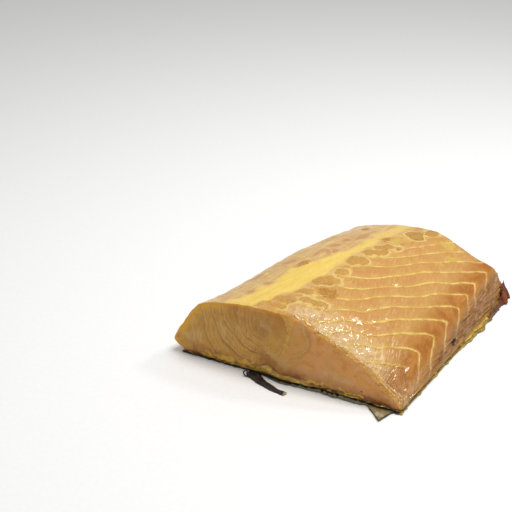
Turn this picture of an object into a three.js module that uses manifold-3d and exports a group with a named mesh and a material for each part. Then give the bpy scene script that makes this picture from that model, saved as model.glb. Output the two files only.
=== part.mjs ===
// A piece of smoked sturgeon fillet: a middle cut of one side of the fish, lying on its skin.
// Units are millimetres and +Z is up. The front cut runs along +X, from the back of the fish on
// the left to its belly on the right, and +Y runs along the fish. "across" is a share of the
// width between the left foot (0) and the right foot (1), and "along" is the distance from the
// front cut. All shapes are drawn from the front left foot and moved to the middle at the end.
import * as THREE from 'three';
import { mergeVertices } from 'three/addons/utils/BufferGeometryUtils.js';
import Module from 'manifold-3d';

const wasm = await Module();
wasm.setup();

// ---- Driving dimensions ----
const CUT_WIDTH = 152; // front cut, from foot to foot
const CUT_LENGTH = 155; // front cut to back cut, on the left
const BACK_CUT_SLANT = 3; // how much longer the belly side is
const LEFT_SKEW = 0.34; // how far the left edge moves right for each millimetre along
const RIGHT_SKEW = 0.213; // the same for the right edge
const SETTLE_LENGTH = 35; // the section takes its full form over this distance from the cut
const SKIN_THICKNESS = 1.6;
const FAT_THICKNESS = 0.8; // where the fat under the flesh is thinnest
const LAYER_GAP = 0.3; // clearance between neighbouring layers
const BAND_RELIEF = 0.9; // how far the middle of a muscle band stands over its septa
const RIDGE_INSET = 2.9; // the septa turn over the belly ridge this far from the right foot,
const RIDGE_DRIFT = 0.057; // and further in by this share of the distance along
const HOOK_SLOPE = 480; // how steeply they then run forward down the belly side
const TOE = 2.4; // how far the foot of the front cut stands forward of its top
const SPIKE_LENGTH = 5.5; // scute points at the back right corner
const STRIP_WIDTH = 4.8;
const STRIP_THICKNESS = 1.5;
const CURL_RADIUS = 2.1;
const MIDDLE = { x: 94.02, y: 72.16 }; // centre of the whole piece, from the front left foot

const SKIN_TOP = SKIN_THICKNESS;
const FAT_BOTTOM = SKIN_TOP + LAYER_GAP;

// Landmarks of the section, from the left foot over the top to the right foot: how far across
// each lies and how high, at the front cut. Clear of that cut it has settled across and risen in
// height, the hump halfway along spreads it and lifts it, and at the back cut it has dropped.
const SECTION_MARKS = [
  // name, across, height, settle, rise, spread, lift, drop
  ['left foot', 0.02, FAT_BOTTOM, 0, 0, 0, 0, 0],
  ['left bulge', -0.026, 8.5, 0.016, 0, 0, 0, 0.5],
  ['left flank', -0.014, 15.5, 0.014, 0, -0.004, 0, 1.5],
  ['low shoulder', 0.028, 26.3, 0.002, -2.8, -0.01, 0.8, 1.3],
  ['shoulder', 0.062, 34.7, 0.003, -4.2, -0.014, 1.5, 1.9],
  ['high shoulder', 0.106, 42, 0.008, -4.5, -0.014, 2.2, 4.2],
  ['brow', 0.18, 46.7, 0.01, -3.6, -0.012, 2.4, 5.9],
  ['crown', 0.277, 49.3, 0.003, -2.2, -0.005, 1.5, 7],
  ['crest', 0.37, 50.6, 0.02, -0.9, 0, 0.4, 6.8],
  ['spine side', 0.488, 50.4, 0.002, -0.2, 0, 0, 7],
  ['upper slope', 0.565, 47.3, 0.015, 0.8, 0, 0, 5.8],
  ['slope', 0.66, 40.4, 0.015, 3, 0, 0, 6],
  ['lower slope', 0.8, 29.3, 0, 4.6, 0, 0, 5.6],
  ['ridge', 0.893, 17.7, -0.01, 7.9, 0, 0, 1.4],
  ['ridge side', 0.98, 6.2, -0.047, 13.5, 0, 0, 0],
  ['right foot', 1, FAT_BOTTOM, 0, 0, 0, 0, 0],
];
const SECTION = SECTION_MARKS.map(([name, across, height, settle, rise, spread, lift, drop]) => (
  { name, across, height, settle, rise, spread, lift, drop }
));
const HUMP_PLACE = 90; // how far along the hump is highest
const HUMP_REACH = 42;

// The septa between the muscle bands, at even steps across. start is how far along septum 0
// lies, pitch the step to the next one, and growth how much the steps widen.
const SEPTA_FROM = 0.5;
const SEPTA_TO = 0.9;
const SEPTA = [
  { start: -15, pitch: 14.7, growth: 0 },
  { start: -3, pitch: 11, growth: 0.62 },
  { start: 13, pitch: 13.5, growth: 0.63 },
  { start: 32, pitch: 16.3, growth: 0.5 },
  { start: 56.5, pitch: 18.5, growth: 0 },
];

// ---- Small helpers ----
const bell = (value, centre, width) => Math.exp(-(((value - centre) / width) ** 2));
const ramp = (value, from, to) => THREE.MathUtils.smoothstep(value, from, to);
const ripple = (value, wavelength, shift) => Math.sin((2 * Math.PI * value) / wavelength + shift);

// Two waves that don't keep step, for an edge torn or cut by hand.
function ragged(value, size, wavelength) {
  const coarse = ripple(value, wavelength, 0.7);
  const fine = ripple(value, wavelength * 0.37, 2.1);
  return size * (0.6 * coarse + 0.4 * fine);
}

// A place across and along as x and y.
function place(across, along) {
  const left = LEFT_SKEW * along;
  const right = CUT_WIDTH + RIGHT_SKEW * along;
  return { x: left + across * (right - left), y: along };
}

// How far along the back cut lies.
const backCut = (across) => CUT_LENGTH + BACK_CUT_SLANT * across;

// How far the cut face stands forward near its foot, where the knife left a toe.
const toe = (x, height) => TOE * bell(x, 76, 14) * bell(height, 0, 9);

// A geometry from rings of equal length, each closed, with both ends drawn to a point.
function loft(rings) {
  const count = rings[0].length;
  const points = rings.flat();
  const index = [];
  for (let row = 0; row < rings.length - 1; row += 1) {
    for (let column = 0; column < count; column += 1) {
      const next = (column + 1) % count;
      const here = row * count;
      const there = here + count;
      index.push(here + column, here + next, there + column);
      index.push(here + next, there + next, there + column);
    }
  }
  const ends = [[0, false], [rings.length - 1, true]];
  for (const [row, last] of ends) {
    const middle = new THREE.Vector3();
    for (const point of rings[row]) middle.addScaledVector(point, 1 / count);
    points.push(middle);
    for (let column = 0; column < count; column += 1) {
      const a = row * count + column;
      const b = row * count + ((column + 1) % count);
      index.push(points.length - 1, last ? a : b, last ? b : a);
    }
  }
  const geometry = new THREE.BufferGeometry().setFromPoints(points);
  geometry.setIndex(index);
  return geometry;
}

// A closed geometry as a solid for cutting and joining.
function toSolid(geometry) {
  const bare = geometry.clone();
  bare.deleteAttribute('normal');
  bare.deleteAttribute('uv');
  const merged = mergeVertices(bare, 1e-4);
  return new wasm.Manifold(new wasm.Mesh({
    numProp: 3,
    vertProperties: new Float32Array(merged.attributes.position.array),
    triVerts: new Uint32Array(merged.index.array),
  }));
}

// A solid as a geometry.
function toGeometry(solid) {
  const mesh = solid.getMesh();
  const geometry = new THREE.BufferGeometry();
  geometry.setAttribute('position', new THREE.BufferAttribute(mesh.vertProperties, mesh.numProp));
  geometry.setIndex(new THREE.BufferAttribute(mesh.triVerts, 1));
  geometry.computeVertexNormals();
  return geometry;
}

// ---- Flesh ----
const TOP_STEPS = 46; // points over the top of each ring
const BOTTOM_STEPS = 4; // points under it
const FIRST_SEPTUM = -5; // the flesh is drawn from here, past the front cut,
const LAST_SEPTUM = 12.7; // to here, past the back cut
const BAND_ROWS = [0, 0.07, 0.27, 0.5, 0.73, 0.93]; // rings within a band, closer at its septa
const FACE_BULGE = 0.8; // how far the middle of a cut face stands out

// Height of the fat's top. It thickens to a wedge under the big back muscle.
function fatTop(across) {
  const wedge = 6.2 * bell(across, 0.42, 0.045) + 3.2 * bell(across, 0.52, 0.07);
  const belly = 1.2 * bell(across, 0.75, 0.2) + 0.25 * ripple(across, 0.13, 0);
  return FAT_BOTTOM + FAT_THICKNESS + wedge + belly;
}

// Start, pitch and growth of the septa at a place across.
const septaPoints = SEPTA.map(({ start, pitch, growth }) => new THREE.Vector3(start, pitch, growth));
const septaCurve = new THREE.CatmullRomCurve3(septaPoints, false, 'catmullrom', 0.5);
function septaAt(across) {
  const share = THREE.MathUtils.clamp((across - SEPTA_FROM) / (SEPTA_TO - SEPTA_FROM), 0, 1);
  const { x, y, z } = septaCurve.getPoint(share);
  return { start: x, pitch: y, growth: z };
}

// Where the septa turn, across, at a distance along.
function ridgeAcross(along) {
  const width = CUT_WIDTH + (RIGHT_SKEW - LEFT_SKEW) * along;
  return 1 - (RIDGE_INSET + RIDGE_DRIFT * along) / width;
}

// The number of the septum at a place, whole on the septum itself.
function septumNumber(across, along) {
  const over = Math.max(0, across - ridgeAcross(along));
  const { start, pitch, growth } = septaAt(across - over);
  const run = along + HOOK_SLOPE * over - start;
  if (growth < 0.01) return run / pitch;
  return (Math.sqrt(Math.max(pitch ** 2 + 4 * growth * run, 0)) - pitch) / (2 * growth);
}

// How far along a septum lies at a place across.
function septumAlong(across, number) {
  const turn = ridgeAcross(CUT_LENGTH / 2);
  const over = Math.max(0, across - turn);
  const { start, pitch, growth } = septaAt(across - over);
  return start + pitch * number + growth * number ** 2 - HOOK_SLOPE * over;
}

// Relief of the flesh: bands swell between their septa, and the front rim is torn and craggy.
function fleshRelief(across, along) {
  const number = septumNumber(across, along);
  const swell = 1 - (2 * (number - Math.floor(number)) - 1) ** 4;
  const past = across - ridgeAcross(along);
  const banded = ramp(across, 0.46, 0.54) * (1 - ramp(past, 0, 0.045));
  const crags = ragged(across + 0.004 * along, 0.9, 0.055) * bell(along, 0, 12);
  const craggy = ramp(across, 0.56, 0.62) * (1 - ramp(past, -0.04, 0));
  const dimples = ragged(along + 90 * across, 0.35, 23);
  return BAND_RELIEF * (swell - 0.6) * banded + crags * craggy + dimples * (1 - banded);
}

// The section's outline at a distance along, as a curve in x and height.
function sectionAt(along) {
  const settled = 1 - Math.exp(-along / SETTLE_LENGTH);
  const hump = bell(along, HUMP_PLACE, HUMP_REACH);
  const tail = (along / CUT_LENGTH) ** 4;
  const outline = new THREE.SplineCurve(SECTION.map((mark) => {
    const { x } = place(mark.across + mark.settle * settled + mark.spread * hump, along);
    const height = mark.height + mark.rise * settled + mark.lift * hump - mark.drop * tail;
    return new THREE.Vector2(x, height);
  }));
  outline.arcLengthDivisions = 90;
  return outline;
}

// A point of the flesh's top. Past the cuts the section stays as it is at the cut.
function topPoint(share, along) {
  const held = THREE.MathUtils.clamp(along, 0, CUT_LENGTH + BACK_CUT_SLANT);
  const outline = sectionAt(held);
  const point = outline.getPointAt(share);
  const run = outline.getTangentAt(share);
  const left = place(0, held).x;
  const relief = fleshRelief((point.x - left) / (place(1, held).x - left), held);
  return new THREE.Vector3(point.x - run.y * relief, along, point.y + run.x * relief);
}

// One ring round the flesh, which follows a septum over the slope.
function fleshRing(number) {
  const middle = CUT_LENGTH / 2;
  const settled = sectionAt(middle);
  const left = place(0, middle).x;
  const width = place(1, middle).x - left;
  const ring = [];
  for (let step = 0; step <= TOP_STEPS; step += 1) {
    const share = step / TOP_STEPS;
    const across = (settled.getPointAt(share).x - left) / width;
    ring.push(topPoint(share, septumAlong(across, number)));
  }
  const [foot, end] = [ring[0], ring[TOP_STEPS]];
  for (let step = 1; step < BOTTOM_STEPS; step += 1) {
    ring.push(new THREE.Vector3().lerpVectors(end, foot, step / BOTTOM_STEPS));
  }
  return ring;
}

// All the space between the two cut faces, which both bulge a little.
function betweenCuts() {
  const columns = 40;
  const rows = 10;
  const low = -2;
  const high = 56;
  const side = 16;
  const bulge = (across, height) => FACE_BULGE * bell(across, 0.42, 0.35) * bell(height, 20, 22);
  const rings = [];
  for (let row = 0; row <= rows; row += 1) {
    const height = low + (high - low) * (row / rows) ** 1.5;
    const front = [];
    const back = [];
    for (let column = 0; column <= columns; column += 1) {
      const x = -side + (CUT_WIDTH + 2 * side) * (column / columns);
      const across = x / CUT_WIDTH;
      front.push(new THREE.Vector3(x, -toe(x, height) - bulge(across, height), height));
      const end = backCut(across);
      back.unshift(new THREE.Vector3(place(across, end).x, end + bulge(across, height), height));
    }
    rings.push([...front, ...back]);
  }
  return toSolid(loft(rings));
}

// The bed of fat as a long bar with the layer's section, raised by lift.
const BED_STEPS = 44;
function fatBed(bottom, lift) {
  const overrun = 12; // past both cuts and both feet
  const side = 0.08;
  const ringAt = (along) => {
    const ring = [];
    for (let step = 0; step <= BED_STEPS; step += 1) {
      const across = -side + (1 + 2 * side) * (step / BED_STEPS);
      const { x } = place(across, along);
      ring.push(new THREE.Vector3(x, along, fatTop(across) + lift));
    }
    ring.push(new THREE.Vector3(place(1 + side, along).x, along, bottom));
    ring.push(new THREE.Vector3(place(-side, along).x, along, bottom));
    return ring;
  };
  return toSolid(loft([ringAt(-overrun), ringAt(CUT_LENGTH + BACK_CUT_SLANT + overrun)]));
}

function makeFlesh() {
  const rings = [];
  for (let band = FIRST_SEPTUM; band < LAST_SEPTUM; band += 1) {
    for (const share of BAND_ROWS) rings.push(fleshRing(band + share));
  }
  const whole = toSolid(loft(rings));
  return toGeometry(whole.intersect(betweenCuts()).subtract(fatBed(-1, LAYER_GAP)));
}

// ---- Fat layer ----
const EDGE_STEP = 4.5; // spacing of points round the fat and the skin

// Points of an edge from one place to another, moved out by a function of the distance run.
function edge(from, to, outward, offset) {
  const length = Math.hypot(to.x - from.x, to.y - from.y);
  const steps = Math.round(length / EDGE_STEP);
  const points = [];
  for (let step = 0; step < steps; step += 1) {
    const share = step / steps;
    const x = from.x + (to.x - from.x) * share;
    const y = from.y + (to.y - from.y) * share;
    const out = offset(share * length);
    points.push(new THREE.Vector2(x + outward.x * out, y + outward.y * out));
  }
  return points;
}

// The four corners under the flesh, in order round it from the front left.
const CORNERS = [place(0.02, 0), place(1, 0), place(1, backCut(1)), place(0.02, backCut(0))];
const OUTWARD = [{ x: 0, y: -1 }, { x: 1, y: 0 }, { x: 0, y: 1 }, { x: -1, y: 0 }];

// Each side's offset is a function of the distance run from the corner it starts at.
function outlineOf(offsets) {
  return CORNERS.flatMap((corner, side) => {
    const next = CORNERS[(side + 1) % CORNERS.length];
    return edge(corner, next, OUTWARD[side], offsets[side]);
  });
}

// On the belly side the fat swells out from under the flesh in soft lumps.
const FAT_LUMPS = { centre: 108, reach: 24, size: 1.9, wavelength: 15 };
function fatLump(run) {
  const { centre, reach, size, wavelength } = FAT_LUMPS;
  return size * bell(run, centre, reach) * (0.6 + 0.4 * ripple(run, wavelength, 0));
}

function makeFatLayer() {
  const offsets = [
    (run) => toe(run + CORNERS[0].x, FAT_BOTTOM) - 0.1,
    (run) => 0.3 + fatLump(run) + ragged(run, 0.25, 19),
    () => 0,
    () => 0,
  ];
  const sheet = new THREE.Shape(outlineOf(offsets));
  const block = new THREE.ExtrudeGeometry(sheet, { depth: 15, bevelEnabled: false });
  block.translate(0, 0, FAT_BOTTOM);
  return toGeometry(toSolid(block).intersect(fatBed(0, 0)));
}

// ---- Skin ----
const SKIN_FLAP = { root: 130, width: 17, length: 11 }; // loose corner of skin at the front
const SKIN_LIP = { from: 118, height: 4.2, wall: 1.1 }; // turned-up edge beside the belly
const SKIN_SPIKES = [150, 157]; // places of the scute points along the belly edge
const SKIN_RIM = 1.2; // how far the sole is drawn in from the edge

// The loose corner runs out to a point, steeply on its left and slowly on its right.
function flapReach(run) {
  const { root, width, length } = SKIN_FLAP;
  const share = (run + CORNERS[0].x - root) / width;
  if (share <= 0 || share >= 1) return 0;
  return length * Math.min(share / 0.7, (1 - share) / 0.3);
}

// A scute point stands out over one step of the edge.
function spikeReach(run) {
  const nearest = Math.min(...SKIN_SPIKES.map((spot) => Math.abs(run - spot)));
  return nearest < EDGE_STEP / 2 ? SPIKE_LENGTH * (1 - nearest / EDGE_STEP) : 0;
}

function skinOutline() {
  return outlineOf([
    (run) => 0.7 + 1.15 * toe(run + CORNERS[0].x, 0) + flapReach(run) + ragged(run, 0.35, 17),
    (run) => 1.9 + fatLump(run) + spikeReach(run) + ragged(run, 0.4, 21),
    (run) => 0.8 + ragged(run, 0.4, 18),
    (run) => 0.6 + ragged(run, 0.4, 20),
  ]);
}

// How much the skin's edge is turned up, at a place given by x and y.
function lipHeight(point) {
  const beside = point.x - place(1, point.y).x;
  const turned = ramp(point.y, SKIN_LIP.from, SKIN_LIP.from + 14) * (1 - ramp(point.y, 150, 157));
  return beside > 0.5 ? SKIN_LIP.height * turned : 0;
}

// The skin is a sheet with a flat sole, a rounded edge and a lip.
function makeSkin() {
  const outline = skinOutline();
  const middle = new THREE.Vector2(CORNERS[1].x * 0.6, CUT_LENGTH / 2);
  const ringOf = (inset, height) => outline.map((point) => {
    const reach = point.distanceTo(middle);
    const drawn = new THREE.Vector2().lerpVectors(point, middle, inset / reach);
    return new THREE.Vector3(drawn.x, drawn.y, height(point));
  });
  const rings = [
    ringOf(SKIN_RIM, () => 0),
    ringOf(0, (point) => 0.7 + 0.5 * lipHeight(point)),
    ringOf(0.15, (point) => 1.3 + lipHeight(point)),
    ringOf(SKIN_LIP.wall + 0.3, () => SKIN_TOP),
  ];
  return toGeometry(toSolid(loft(rings)));
}

// ---- Torn strip of skin ----
// It starts at the skin's front edge and runs forward and to the right along the surface.
const STRIP_ROUTE = [[51.4, -2.6], [54.5, -4.9], [60.5, -6.9], [67, -8.9], [74.5, -11.2], [81.6, -12.3]];
const STRIP_STEPS = 14;
const STRIP_SIDES = 8;

function makeStrip() {
  const route = new THREE.CatmullRomCurve3(STRIP_ROUTE.map(([x, y]) => new THREE.Vector3(x, y, 0)));
  const rings = [];
  for (let step = 0; step <= STRIP_STEPS; step += 1) {
    const share = step / STRIP_STEPS;
    const centre = route.getPointAt(share);
    const run = route.getTangentAt(share);
    const side = new THREE.Vector3(-run.y, run.x, 0);
    const half = 0.5 * STRIP_WIDTH * (0.62 + 0.38 * ramp(share, 0, 0.4)) + ragged(share, 0.15, 0.31);
    const thick = 0.5 * STRIP_THICKNESS * (1 + 0.2 * ripple(share, 0.45, 0));
    const ring = [];
    for (let corner = 0; corner < STRIP_SIDES; corner += 1) {
      const angle = (2 * Math.PI * (corner + 0.5)) / STRIP_SIDES;
      const lift = thick * (1 + Math.sin(angle) / Math.sin((3 * Math.PI) / 8));
      const aside = (half * Math.cos(angle)) / Math.cos(Math.PI / 8);
      ring.push(centre.clone().addScaledVector(side, aside).setZ(lift));
    }
    rings.push(ring);
  }
  const curl = new THREE.TorusGeometry(CURL_RADIUS, 0.5, 6, 16);
  curl.rotateX(Math.PI / 2);
  curl.translate(STRIP_ROUTE[0][0] - 1.2, STRIP_ROUTE[0][1] - 0.6, CURL_RADIUS + 0.5);
  return toGeometry(toSolid(loft(rings)).add(toSolid(curl)));
}

// ---- The piece ----
const group = new THREE.Group();

function addMesh(name, geometry, finish) {
  const mesh = new THREE.Mesh(geometry, new THREE.MeshStandardMaterial(finish));
  mesh.name = name;
  group.add(mesh);
}

addMesh('flesh', makeFlesh(), { color: 0xd69a4c, roughness: 0.35, metalness: 0 });
addMesh('fat_layer', makeFatLayer(), { color: 0xb8882f, roughness: 0.4, metalness: 0 });
addMesh('skin', makeSkin(), { color: 0x2b2419, roughness: 0.7, metalness: 0 });
addMesh('skin_strip', makeStrip(), { color: 0x30281e, roughness: 0.7, metalness: 0 });
group.position.set(-MIDDLE.x, -MIDDLE.y, 0);

export default group;
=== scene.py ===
"""A piece of smoked sturgeon fillet, a middle cut of one side of the fish, lying on its skin.

The flesh, the fat under it, the skin and a torn strip of skin are each one mesh. Lengths are in
millimetres from the front left foot until a mesh is finished, and then in metres in the frame.
"across" is a share of the width between the left foot (0) and the right foot (1), and "along"
is the distance from the front cut.
"""

import math

import bpy
import numpy as np
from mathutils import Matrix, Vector


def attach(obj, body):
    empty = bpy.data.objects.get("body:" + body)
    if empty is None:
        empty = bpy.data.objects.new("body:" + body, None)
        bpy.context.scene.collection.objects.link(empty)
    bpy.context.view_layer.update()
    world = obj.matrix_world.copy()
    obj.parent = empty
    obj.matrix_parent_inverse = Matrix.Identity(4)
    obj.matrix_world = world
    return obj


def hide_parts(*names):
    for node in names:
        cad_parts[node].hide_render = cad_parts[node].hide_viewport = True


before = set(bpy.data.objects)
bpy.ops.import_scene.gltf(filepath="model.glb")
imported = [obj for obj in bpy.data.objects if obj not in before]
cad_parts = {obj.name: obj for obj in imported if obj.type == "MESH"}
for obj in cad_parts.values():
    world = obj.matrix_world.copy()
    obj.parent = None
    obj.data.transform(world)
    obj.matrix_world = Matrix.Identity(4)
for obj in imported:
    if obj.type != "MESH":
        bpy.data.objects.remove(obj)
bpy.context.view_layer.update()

# ---- Sizes, as in the solids ----
MM = 0.001
MIDDLE = np.array([94.02, 72.16, 0.0])  # the frame's origin, from the front left foot
CUT_WIDTH = 152.0
CUT_LENGTH = 155.0
BACK_CUT_SLANT = 3.0
LEFT_SKEW = 0.34
RIGHT_SKEW = 0.213
SETTLE_LENGTH = 35.0
SKIN_THICKNESS = 1.6
FAT_THICKNESS = 0.8
LAYER_GAP = 0.3
FAT_BOTTOM = SKIN_THICKNESS + LAYER_GAP
LAYER_START = 0.02  # across, where the fat and the skin begin
EDGE_DEPTH = 5.0  # how far in from its edge a layer is pulled with it
TOE = 2.4
LUMP_HEIGHT = 1.9  # soft lumps of fat under the skin, along the belly edge
LUMP_PLACE = 108.0
LUMP_REACH = 24.0
LUMP_STEP = 15.0

# Landmarks of the section from the left foot over the top to the right foot: across, how far it
# settles across, height, rise once clear of the front cut, drop at the back cut, and how far the
# hump halfway along spreads it and lifts it.
SECTION = np.array([
    (0.020, 0.000, 2.9, 0.0, 0.0, 0.000, 0.0),  # left foot
    (-0.026, 0.016, 8.5, 0.0, 0.5, 0.000, 0.0),  # left bulge
    (-0.014, 0.014, 15.5, 0.0, 1.5, -0.004, 0.0),  # left flank
    (0.028, 0.002, 26.3, -2.8, 1.3, -0.010, 0.8),  # low shoulder
    (0.062, 0.003, 34.7, -4.2, 1.9, -0.014, 1.5),  # shoulder
    (0.106, 0.008, 42.0, -4.5, 4.2, -0.014, 2.2),  # high shoulder
    (0.180, 0.010, 46.7, -3.6, 5.9, -0.012, 2.4),  # brow
    (0.277, 0.003, 49.3, -2.2, 7.0, -0.005, 1.5),  # crown
    (0.370, 0.020, 50.6, -0.9, 6.8, 0.000, 0.4),  # crest
    (0.488, 0.002, 50.4, -0.2, 7.0, 0.000, 0.0),  # spine side
    (0.565, 0.015, 47.3, 0.8, 5.8, 0.000, 0.0),  # upper slope
    (0.660, 0.015, 40.4, 3.0, 6.0, 0.000, 0.0),  # slope
    (0.800, 0.000, 29.3, 4.6, 5.6, 0.000, 0.0),  # lower slope
    (0.893, -0.010, 17.7, 7.9, 1.4, 0.000, 0.0),  # ridge
    (0.980, -0.047, 6.2, 13.5, 0.0, 0.000, 0.0),  # ridge side
    (1.000, 0.000, 3.3, 0.0, 0.0, 0.000, 0.0),  # right foot
])
HUMP_PLACE = 90.0
HUMP_REACH = 42.0
HIGH_SHOULDER = 5  # the flank turns into the top here
RIDGE = 13  # and the top into the belly side here
LAST_MARK = len(SECTION) - 1

# The septa between the muscle bands, at even steps across: how far along septum 0 lies, the
# step to the next one, and how much the steps widen.
SEPTA_ACROSS = np.array([0.5, 0.6, 0.7, 0.8, 0.9, 1.0])
SEPTA_START = np.array([-15.0, -3.0, 13.0, 32.0, 56.5, 70.0])
SEPTA_PITCH = np.array([14.7, 11.0, 13.5, 16.3, 18.5, 18.5])
SEPTA_GROWTH = np.array([0.0, 0.62, 0.63, 0.5, 0.0, 0.0])
RIDGE_INSET = 2.9
RIDGE_DRIFT = 0.057
HOOK_SLOPE = 345.0
HOOK_ACROSS = 0.931  # where the septa turn down over the ridge, and how far that drifts by the back
HOOK_DRIFT = 0.031
HOOK_ROUND = 0.0025


# ---- Small helpers ----
def bell(value, centre, width):
    return np.exp(-(((value - centre) / width) ** 2))


def ramp(value, low, high):
    share = np.clip((value - low) / (high - low), 0, 1)
    return share * share * (3 - 2 * share)


def waves(points, length, seed, count=18):
    """Smooth noise of about -1 to 1, from waves of nearly one length that run every way."""
    rng = np.random.default_rng(seed)
    total = np.zeros(len(points))
    for _ in range(count):
        heading = rng.normal(size=points.shape[1])
        heading /= np.linalg.norm(heading) * length * rng.uniform(0.7, 1.4)
        total += np.cos(2 * math.pi * (points @ heading + rng.random()))
    return total / math.sqrt(count / 2)


def place(across, along):
    """x of a place across, at a distance along."""
    left = LEFT_SKEW * along
    return left + across * (CUT_WIDTH + RIGHT_SKEW * along - left)


def fat_top(across):
    """Height of the fat's top. It thickens to a wedge under the big back muscle."""
    wedge = 6.2 * bell(across, 0.42, 0.045) + 3.2 * bell(across, 0.52, 0.07)
    belly = 1.2 * bell(across, 0.75, 0.2) + 0.25 * np.sin(2 * math.pi * across / 0.13)
    return FAT_BOTTOM + FAT_THICKNESS + wedge + belly


def toe(x, height):
    """How far the cut face stands forward near its foot."""
    return TOE * bell(x, 76, 14) * bell(height, 0, 9)


def belly_lumps(along):
    """How far the fat and the skin swell out on the belly side."""
    return (LUMP_HEIGHT * bell(along, LUMP_PLACE, LUMP_REACH)
            * (0.6 + 0.4 * np.sin(2 * math.pi * along / LUMP_STEP)))


def near_edge(distance, depth=EDGE_DEPTH):
    """1 on an edge, falling evenly to 0 at a depth behind it."""
    return np.clip(1 - distance / depth, 0, 1)


def ridge_across(along):
    """Where the belly side begins."""
    width = CUT_WIDTH + (RIGHT_SKEW - LEFT_SKEW) * along
    return 1 - (RIDGE_INSET + RIDGE_DRIFT * along) / width


def smooth_interp(value, at, table):
    """Interpolation that runs level through the table's points, without kinks."""
    fine = np.linspace(at[0], at[-1], 400)
    rough = np.interp(fine, at, table)
    reach = int(200 * (at[1] - at[0]) / (at[-1] - at[0]))
    kernel = np.hanning(2 * reach + 1)
    padded = np.pad(rough, reach, mode="reflect", reflect_type="odd")
    return np.interp(value, fine, np.convolve(padded, kernel / kernel.sum(), mode="valid"))


def septum_number(across, along):
    """The number of the septum at a place, whole on the septum itself."""
    turn = HOOK_ACROSS - HOOK_DRIFT * ramp(along, 85, 135)
    over = HOOK_ROUND * np.logaddexp(0, (across - turn) / HOOK_ROUND)
    at = across - over
    start = smooth_interp(at, SEPTA_ACROSS, SEPTA_START)
    pitch = smooth_interp(at, SEPTA_ACROSS, SEPTA_PITCH)
    growth = np.maximum(smooth_interp(at, SEPTA_ACROSS, SEPTA_GROWTH), 0.01)
    run = along + HOOK_SLOPE * over - start
    return (np.sqrt(np.maximum(pitch**2 + 4 * growth * run, 0)) - pitch) / (2 * growth)


# ---- Modelling ----
def deselect_everything():
    bpy.ops.object.select_all(action="DESELECT")


def select_parts(obj, part, chosen):
    """Selects the chosen vertices, edges or faces of a mesh, and opens it in edit mode."""
    bpy.ops.object.mode_set(mode="EDIT")
    bpy.ops.mesh.select_mode(type={"vertices": "VERT", "edges": "EDGE", "polygons": "FACE"}[part])
    bpy.ops.mesh.select_all(action="DESELECT")
    bpy.ops.object.mode_set(mode="OBJECT")
    getattr(obj.data, part).foreach_set("select", np.asarray(chosen, bool))
    bpy.ops.object.mode_set(mode="EDIT")


def coordinates(obj):
    flat = np.empty(3 * len(obj.data.vertices))
    obj.data.vertices.foreach_get("co", flat)
    return flat.reshape(-1, 3)


def edge_ends(obj):
    ends = np.empty(2 * len(obj.data.edges), int)
    obj.data.edges.foreach_get("vertices", ends)
    return coordinates(obj)[ends.reshape(-1, 2)]


def lattice_block(name, cuts):
    """A unit cube cut into rows along each side, its floor only into strips that run along y."""
    deselect_everything()
    bpy.ops.mesh.primitive_cube_add(size=1, location=(0.5, 0.5, 0.5))
    bpy.ops.object.transform_apply(location=True, rotation=True, scale=True)
    obj = bpy.context.object
    obj.name = obj.data.name = name
    for axis, count in enumerate(cuts):
        ends = edge_ends(obj)
        runs = np.abs(ends[:, 1] - ends[:, 0])
        select_parts(obj, "edges", runs[:, axis] > 0.9)
        bpy.ops.mesh.subdivide(number_cuts=count - 1)
        bpy.ops.object.mode_set(mode="OBJECT")
    ends = edge_ends(obj)
    on_floor = (ends[:, :, 2] < 1e-6).all(axis=1)
    rung = np.abs(ends[:, 0, 0] - ends[:, 1, 0]) > 1e-6
    inside = (ends[:, 0, 1] > 1e-6) & (ends[:, 0, 1] < 1 - 1e-6)
    select_parts(obj, "edges", on_floor & rung & inside)
    bpy.ops.mesh.dissolve_edges(use_verts=True)
    bpy.ops.object.mode_set(mode="OBJECT")
    return obj


def move_vertices(obj, points):
    """Moves every vertex of a mesh to its point, given in millimetres from the front left foot."""
    obj.data.vertices.foreach_set("co", ((points - MIDDLE) * MM).ravel())
    obj.data.update()


def write_attribute(obj, name, values):
    attribute = obj.data.attributes.new(name, "FLOAT", "POINT")
    attribute.data.foreach_set("value", np.asarray(values, np.float32))


# ---- The flesh ----
TOP_COLUMNS = 186
FLESH_ROWS = 216
FACE_TIERS = 60
RIM_ROUND = 1.5  # radius of the edge that the knife left
LEFT_PITCH = 15.2  # step between the septa left of the fat stripe

# Edges of the fat stripe over the spine: distance along and across.
STRIPE_LEFT = np.array([(-6, 0.21), (6, 0.228), (10, 0.262), (25, 0.27), (43, 0.273),
                        (54, 0.26), (64, 0.288), (73, 0.303), (80, 0.337), (98, 0.363),
                        (106, 0.38), (128, 0.366), (140, 0.369), (162, 0.39)])
STRIPE_RIGHT = np.array([(-6, 0.335), (5, 0.351), (18, 0.369), (30, 0.412), (44, 0.404),
                         (58, 0.438), (67, 0.411), (76, 0.428), (86, 0.405), (99, 0.42),
                         (115, 0.43), (137, 0.44), (162, 0.43)])

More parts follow.
